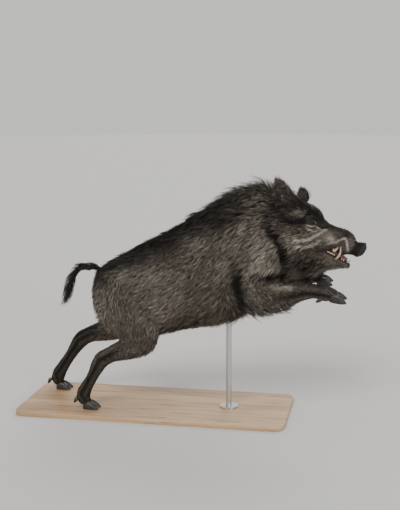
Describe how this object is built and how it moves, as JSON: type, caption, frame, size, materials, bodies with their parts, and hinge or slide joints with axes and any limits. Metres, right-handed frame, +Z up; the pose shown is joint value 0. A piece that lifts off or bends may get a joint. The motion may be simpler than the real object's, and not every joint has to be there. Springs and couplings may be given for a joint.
{
  "type": "wild boar model",
  "caption": "Life-size wild boar leaping forward off its hind feet, shaggy coat, mouth slightly open, held by a rod on a flat display board.",
  "frame": {"origin": "middle of the underside of the display board", "axes": "+X towards the snout, +Y to the animal's left, +Z up"},
  "size_m": [1.8296, 0.54, 1.2702],
  "materials": {
    "coat": "dark brown-black bristles over woolly underfur, grizzled with grey-tan tips",
    "eye": "dark brown glass eye, polished",
    "hoof": "dark horn, worn satin, with fine growth lines",
    "ivory": "old ivory, yellower at the root, satin",
    "tongue": "moist pink",
    "wood": "light oak board, oiled, with eased edges",
    "steel": "satin round bar"
  },
  "bodies": {
    "root": {"head": "coat", "lower_jaw": "coat", "neck": "coat", "trunk": "coat", "tail": "coat", "ear_left": "coat", "ear_right": "coat", "foreleg_left": "coat", "foreleg_right": "coat", "hindleg_left": "coat", "hindleg_right": "coat", "eye_left": "eye", "eye_right": "eye", "forefoot_left_hoof_outer": "hoof", "forefoot_left_hoof_inner": "hoof", "forefoot_left_dewclaw_outer": "hoof", "forefoot_left_dewclaw_inner": "hoof", "forefoot_right_hoof_outer": "hoof", "forefoot_right_hoof_inner": "hoof", "forefoot_right_dewclaw_outer": "hoof", "forefoot_right_dewclaw_inner": "hoof", "hindfoot_left_hoof_outer": "hoof", "hindfoot_left_hoof_inner": "hoof", "hindfoot_left_dewclaw_outer": "hoof", "hindfoot_left_dewclaw_inner": "hoof", "hindfoot_right_hoof_outer": "hoof", "hindfoot_right_hoof_inner": "hoof", "hindfoot_right_dewclaw_outer": "hoof", "hindfoot_right_dewclaw_inner": "hoof", "tusk_lower_left": "ivory", "tusk_lower_right": "ivory", "tusk_upper_left": "ivory", "tusk_upper_right": "ivory", "incisors": "ivory", "tongue": "tongue", "stand_base": "wood", "stand_foot": "steel", "stand_rod": "steel"}
  },
  "joints": []
}
